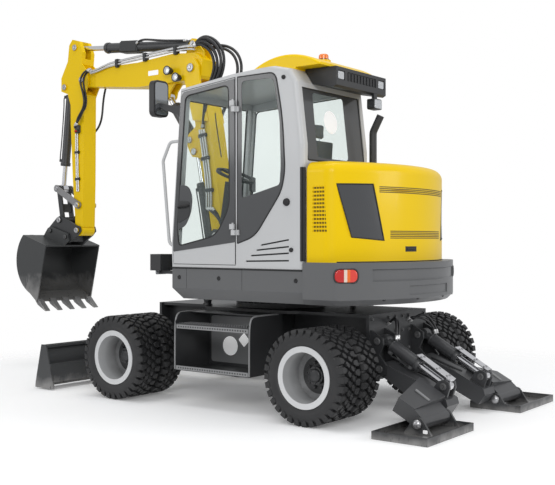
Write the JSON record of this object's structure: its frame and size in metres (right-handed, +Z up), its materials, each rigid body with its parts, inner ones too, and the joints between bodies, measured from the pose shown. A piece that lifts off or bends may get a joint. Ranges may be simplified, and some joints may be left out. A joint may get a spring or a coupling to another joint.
{
  "type": "wheeled excavator",
  "caption": "Compact wheeled excavator with twin tyres, glazed cab, two-piece boom, backhoe bucket, front dozer blade and rear stabilizer legs.",
  "frame": {"origin": "on the ground, on the slew axis, midway between the axles", "axes": "+X forward towards the blade and bucket, +Y the machine's left (cab side), +Z up"},
  "size_m": [5.7363, 2.38, 3.72],
  "materials": {
    "yellow_paint": "gloss",
    "silver_paint": "satin",
    "anthracite_paint": "satin",
    "grey_paint": "satin",
    "chrome": "polished",
    "bright_steel": "satin",
    "rim_paint": "satin",
    "tyre": "matte",
    "glass": "clear",
    "orange_lens": "gloss",
    "red_lens": "gloss",
    "seat_fabric": "matte",
    "black_plastic": "matte",
    "cast_iron": "matte"
  },
  "bodies": {
    "undercarriage": {"chassis": "anthracite_paint", "front_axle": "anthracite_paint", "rear_axle": "anthracite_paint", "step_box_left": "anthracite_paint", "step_box_right": "anthracite_paint"},
    "knuckle_left_body": {"knuckle_left": "anthracite_paint"},
    "knuckle_right_body": {"knuckle_right": "anthracite_paint"},
    "wheels_front_left": {"rims_front_left": "rim_paint", "tyres_front_left": "tyre"},
    "wheels_front_right": {"rims_front_right": "rim_paint", "tyres_front_right": "tyre"},
    "wheels_rear_left": {"rims_rear_left": "rim_paint", "tyres_rear_left": "tyre"},
    "wheels_rear_right": {"rims_rear_right": "rim_paint", "tyres_rear_right": "tyre"},
    "blade_body": {"blade": "anthracite_paint"},
    "blade_barrel_body": {"blade_barrel": "anthracite_paint"},
    "blade_rod_body": {"blade_rod": "chrome"},
    "leg_left": {"stabilizer_leg_left": "anthracite_paint"},
    "pad_left": {"stabilizer_pad_left": "anthracite_paint"},
    "leg_barrel_left_body": {"leg_barrel_left": "anthracite_paint"},
    "leg_rod_left_body": {"leg_rod_left": "chrome"},
    "leg_right": {"stabilizer_leg_right": "anthracite_paint"},
    "pad_right": {"stabilizer_pad_right": "anthracite_paint"},
    "leg_barrel_right_body": {"leg_barrel_right": "anthracite_paint"},
    "leg_rod_right_body": {"leg_rod_right": "chrome"},
    "upper_structure": {"platform": "grey_paint", "counterweight": "grey_paint", "hood": "yellow_paint", "engine_block": "cast_iron", "side_cover": "grey_paint", "cab_frame": "silver_paint", "cab_glass": "glass", "cab_roof": "yellow_paint", "beacon": "orange_lens", "tail_lamps": "red_lens", "operator_seat": "seat_fabric", "cab_controls": "black_plastic", "fittings": "black_plastic", "handrail": "bright_steel"},
    "door": {"cab_door": "silver_paint", "door_glass": "glass"},
    "swing_post_body": {"swing_post": "anthracite_paint"},
    "lower_boom_body": {"lower_boom": "yellow_paint"},
    "lift_barrel_body": {"lift_barrel": "anthracite_paint"},
    "lift_rod_body": {"lift_rod": "chrome"},
    "upper_boom_body": {"upper_boom": "yellow_paint", "boom_lamps": "black_plastic"},
    "adjust_barrel_body": {"adjust_barrel": "anthracite_paint"},
    "adjust_rod_body": {"adjust_rod": "chrome"},
    "arm_body": {"arm": "yellow_paint"},
    "stick_barrel_body": {"stick_barrel": "anthracite_paint"},
    "stick_rod_body": {"stick_rod": "chrome"},
    "bucket_body": {"bucket": "anthracite_paint", "quick_coupler": "anthracite_paint"},
    "bucket_barrel_body": {"bucket_barrel": "anthracite_paint"},
    "bucket_rod_body": {"bucket_rod": "chrome"},
    "lever_body": {"bucket_lever": "anthracite_paint"},
    "link_body": {"bucket_link": "anthracite_paint"}
  },
  "joints": [
    {"name": "steer_left", "type": "hinge", "parent": "undercarriage", "child": "knuckle_left_body", "pos_m": [1.065, 0.5, 0.382], "axis": [0, 0, 1], "range_deg": [-26, 26]},
    {"name": "steer_right", "type": "hinge", "parent": "undercarriage", "child": "knuckle_right_body", "pos_m": [1.065, -0.5, 0.382], "axis": [0, 0, 1], "range_deg": [-26, 26]},
    {"name": "wheel_front_left", "type": "hinge", "parent": "knuckle_left_body", "child": "wheels_front_left", "pos_m": [1.065, 0.83, 0.382], "axis": [0, 1, 0], "continuous": true},
    {"name": "wheel_front_right", "type": "hinge", "parent": "knuckle_right_body", "child": "wheels_front_right", "pos_m": [1.065, -0.83, 0.382], "axis": [0, 1, 0], "continuous": true},
    {"name": "wheel_rear_left", "type": "hinge", "parent": "undercarriage", "child": "wheels_rear_left", "pos_m": [-1.065, 0.83, 0.382], "axis": [0, 1, 0], "continuous": true},
    {"name": "wheel_rear_right", "type": "hinge", "parent": "undercarriage", "child": "wheels_rear_right", "pos_m": [-1.065, -0.83, 0.382], "axis": [0, 1, 0], "continuous": true},
    {"name": "blade_lift", "type": "hinge", "parent": "undercarriage", "child": "blade_body", "pos_m": [1.33, 0, 0.36], "axis": [0, -1, 0], "range_deg": [-8, 28]},
    {"name": "blade_barrel_swing", "type": "hinge", "parent": "undercarriage", "child": "blade_barrel_body", "pos_m": [1.3, 0, 0.69], "axis": [0, -1, 0], "range_deg": [-6.5, 22.4]},
    {"name": "blade_rod_slide", "type": "slide", "parent": "blade_barrel_body", "child": "blade_rod_body", "axis": [0.9013, 0, -0.4332], "range_m": [-0.15, 0.043]},
    {"name": "leg_lift_left", "type": "hinge", "parent": "undercarriage", "child": "leg_left", "pos_m": [-1.355, 0.34, 0.402], "axis": [0, 1, 0], "range_deg": [-8, 50]},
    {"name": "pad_tilt_left", "type": "hinge", "parent": "leg_left", "child": "pad_left", "pos_m": [-1.945, 0.685, 0.092], "axis": [0, -1, 0], "range_deg": [-20, 15]},
    {"name": "leg_barrel_swing_left", "type": "hinge", "parent": "undercarriage", "child": "leg_barrel_left_body", "pos_m": [-1.332, 0.34, 0.629], "axis": [0, 1, 0], "range_deg": [-7.2, 44.2]},
    {"name": "leg_rod_slide_left", "type": "slide", "parent": "leg_barrel_left_body", "child": "leg_rod_left_body", "axis": [-0.8647, 0, -0.5022], "range_m": [-0.187, 0.03]},
    {"name": "leg_lift_right", "type": "hinge", "parent": "undercarriage", "child": "leg_right", "pos_m": [-1.355, -0.34, 0.402], "axis": [0, 1, 0], "range_deg": [-8, 50]},
    {"name": "pad_tilt_right", "type": "hinge", "parent": "leg_right", "child": "pad_right", "pos_m": [-1.945, -0.685, 0.092], "axis": [0, -1, 0], "range_deg": [-20, 15]},
    {"name": "leg_barrel_swing_right", "type": "hinge", "parent": "undercarriage", "child": "leg_barrel_right_body", "pos_m": [-1.332, -0.34, 0.629], "axis": [0, 1, 0], "range_deg": [-7.2, 44.2]},
    {"name": "leg_rod_slide_right", "type": "slide", "parent": "leg_barrel_right_body", "child": "leg_rod_right_body", "axis": [-0.8647, 0, -0.5022], "range_m": [-0.187, 0.03]},
    {"name": "slew", "type": "hinge", "parent": "undercarriage", "child": "upper_structure", "pos_m": [0, 0, 0.925], "axis": [0, 0, 1], "continuous": true},
    {"name": "door_open", "type": "hinge", "parent": "upper_structure", "child": "door", "pos_m": [-0.228, 0.985, 2], "axis": [0, 0, 1], "range_deg": [0, 170]},
    {"name": "boom_swing", "type": "hinge", "parent": "upper_structure", "child": "swing_post_body", "pos_m": [0.625, -0.105, 1.075], "axis": [0, 0, 1], "range_deg": [-50, 60]},
    {"name": "lower_boom_lift", "type": "hinge", "parent": "swing_post_body", "child": "lower_boom_body", "pos_m": [0.783, -0.105, 1.494], "axis": [0, -1, 0], "range_deg": [-50, 12]},
    {"name": "lift_barrel_swing", "type": "hinge", "parent": "swing_post_body", "child": "lift_barrel_body", "pos_m": [0.915, -0.105, 1.2], "axis": [0, -1, 0], "range_deg": [-40.9, 9.9]},
    {"name": "lift_rod_slide", "type": "slide", "parent": "lift_barrel_body", "child": "lift_rod_body", "axis": [0.185, 0, 0.9827], "range_m": [-0.212, 0.051]},
    {"name": "upper_boom_fold", "type": "hinge", "parent": "lower_boom_body", "child": "upper_boom_body", "pos_m": [1.116, -0.105, 3.194], "axis": [0, 1, 0], "range_deg": [-34, 10]},
    {"name": "adjust_barrel_swing", "type": "hinge", "parent": "lower_boom_body", "child": "adjust_barrel_body", "pos_m": [1.19, -0.105, 2.475], "axis": [0, 1, 0], "range_deg": [-6.6, 2]},
    {"name": "adjust_rod_slide", "type": "slide", "parent": "adjust_barrel_body", "child": "adjust_rod_body", "axis": [0.5796, 0, 0.8149], "range_m": [-0.079, 0.266]},
    {"name": "arm_swing", "type": "hinge", "parent": "upper_boom_body", "child": "arm_body", "pos_m": [2.799, -0.105, 3.249], "axis": [0, -1, 0], "range_deg": [-40, 55]},
    {"name": "stick_barrel_swing", "type": "hinge", "parent": "upper_boom_body", "child": "stick_barrel_body", "pos_m": [1.15, -0.105, 3.45], "axis": [0, -1, 0], "range_deg": [-2.3, 3.2]},
    {"name": "stick_rod_slide", "type": "slide", "parent": "stick_barrel_body", "child": "stick_rod_body", "axis": [0.9952, 0, 0.0976], "range_m": [-0.331, 0.241]},
    {"name": "bucket_curl", "type": "hinge", "parent": "arm_body", "child": "bucket_body", "pos_m": [2.852, -0.105, 1.563], "axis": [0, 1, 0], "range_deg": [-45, 105]},
    {"name": "bucket_barrel_swing", "type": "hinge", "parent": "arm_body", "child": "bucket_barrel_body", "pos_m": [3.085, -0.105, 3.192], "axis": [0, 1, 0], "range_deg": [-0.5, 1.1]},
    {"name": "bucket_rod_slide", "type": "slide", "parent": "bucket_barrel_body", "child": "bucket_rod_body", "axis": [0.1126, 0, -0.9936], "range_m": [-0.201, 0.468]},
    {"name": "lever_swing", "type": "hinge", "parent": "arm_body", "child": "lever_body", "pos_m": [2.848, -0.105, 1.847], "axis": [0, 1, 0], "range_deg": [-36.1, 84.1]},
    {"name": "link_swing", "type": "hinge", "parent": "lever_body", "child": "link_body", "pos_m": [3.215, -0.105, 2.045], "axis": [0, 1, 0], "range_deg": [-60.5, 26]}
  ],
  "couplings": [
    {"joint": "steer_right", "follows": "steer_left", "ratio": 1},
    {"joint": "blade_barrel_swing", "follows": "blade_lift", "ratio": 0.797},
    {"joint": "blade_rod_slide", "follows": "blade_lift", "m_per_rad": -0.30453},
    {"joint": "leg_barrel_swing_left", "follows": "leg_lift_left", "ratio": 0.8816},
    {"joint": "leg_rod_slide_left", "follows": "leg_lift_left", "m_per_rad": -0.21337},
    {"joint": "leg_barrel_swing_right", "follows": "leg_lift_right", "ratio": 0.8816},
    {"joint": "leg_rod_slide_right", "follows": "leg_lift_right", "m_per_rad": -0.21337},
    {"joint": "lift_barrel_swing", "follows": "lower_boom_lift", "ratio": 0.8156},
    {"joint": "lift_rod_slide", "follows": "lower_boom_lift", "m_per_rad": 0.24215},
    {"joint": "adjust_barrel_swing", "follows": "upper_boom_fold", "ratio": 0.1908},
    {"joint": "adjust_rod_slide", "follows": "upper_boom_fold", "m_per_rad": -0.44691},
    {"joint": "stick_barrel_swing", "follows": "arm_swing", "ratio": 0.056},
    {"joint": "stick_rod_slide", "follows": "arm_swing", "m_per_rad": -0.34389},
    {"joint": "bucket_barrel_swing", "follows": "bucket_curl", "ratio": 0.01},
    {"joint": "bucket_rod_slide", "follows": "bucket_curl", "m_per_rad": 0.25497},
    {"joint": "lever_swing", "follows": "bucket_curl", "ratio": 0.8},
    {"joint": "link_swing", "follows": "bucket_curl", "ratio": -0.575}
  ]
}
